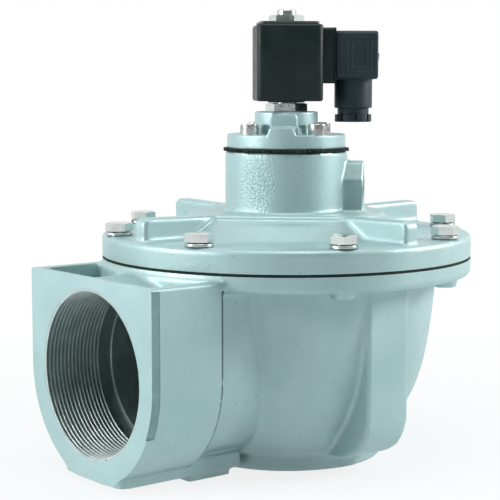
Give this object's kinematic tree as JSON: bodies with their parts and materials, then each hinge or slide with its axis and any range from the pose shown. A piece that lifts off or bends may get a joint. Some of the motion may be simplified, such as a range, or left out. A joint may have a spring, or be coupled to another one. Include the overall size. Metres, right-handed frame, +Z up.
{
  "type": "dust collector pulse valve",
  "caption": "Right-angle diaphragm pulse valve with threaded ports, a bolted ribbed cover and a solenoid pilot with its cable connector",
  "frame": {"origin": "centre of the outlet port's mouth, on the plane that the valve stands on", "axes": "+Z up along the outlet's axis, -Y the way the inlet port faces"},
  "size_m": [0.2036, 0.2316, 0.2448],
  "materials": {
    "casting": "pale silver-blue satin coat on a die casting",
    "rubber": "black moulded rubber",
    "zinc_steel": "zinc-plated steel, satin",
    "spring_steel": "drawn spring wire",
    "stainless": "turned stainless steel",
    "copper": "bare copper",
    "tinned_brass": "tinned brass",
    "coil_plastic": "black moulded resin, satin",
    "connector_plastic": "dark grey moulded nylon, satin",
    "insert_plastic": "grey moulded nylon"
  },
  "bodies": {
    "root": {"valve_body": "casting", "top_cover": "casting", "pilot_cap": "casting", "main_diaphragm": "rubber", "pilot_diaphragm": "rubber", "core_o_ring": "rubber", "cover_bolts": "zinc_steel", "cover_spring_washers": "zinc_steel", "cap_screws": "zinc_steel", "coil_nut": "zinc_steel", "main_spring": "spring_steel", "pilot_spring": "spring_steel", "plunger_spring": "spring_steel", "core_tube": "stainless", "fixed_core": "stainless", "shading_ring": "copper"},
    "main_piston": {"main_top_plate": "zinc_steel", "main_bottom_plate": "zinc_steel", "main_bolt": "zinc_steel", "main_lock_washer": "zinc_steel", "main_nut": "zinc_steel"},
    "pilot_piston": {"pilot_plate": "zinc_steel", "pilot_rivet": "zinc_steel"},
    "plunger": {"plunger": "stainless", "plunger_seal": "rubber"},
    "coil": {"coil": "coil_plastic", "coil_top_plate": "zinc_steel", "terminal_blades": "tinned_brass", "connector_gasket": "rubber", "connector_insert": "insert_plastic", "connector_housing": "connector_plastic", "connector_screw": "zinc_steel", "gland_washer": "zinc_steel", "gland_grommet": "rubber", "gland_nut": "connector_plastic"}
  },
  "joints": [
    {"name": "main_lift", "type": "slide", "parent": "root", "child": "main_piston", "axis": [0, 0, 1], "range_m": [0, 0.012], "stiffness_N_per_m": 1500, "springref_m": -0.008, "deforming": ["main_diaphragm", "main_spring"]},
    {"name": "pilot_lift", "type": "slide", "parent": "root", "child": "pilot_piston", "axis": [0, 0, 1], "range_m": [0, 0.004], "stiffness_N_per_m": 800, "springref_m": -0.004, "deforming": ["pilot_diaphragm", "pilot_spring"]},
    {"name": "plunger_lift", "type": "slide", "parent": "root", "child": "plunger", "axis": [0, 0, 1], "range_m": [0, 0.0017], "stiffness_N_per_m": 500, "springref_m": -0.004, "deforming": ["plunger_spring"]},
    {"name": "coil_turn", "type": "hinge", "parent": "root", "child": "coil", "pos_m": [0, 0, 0.215], "axis": [0, 0, 1], "continuous": true}
  ]
}
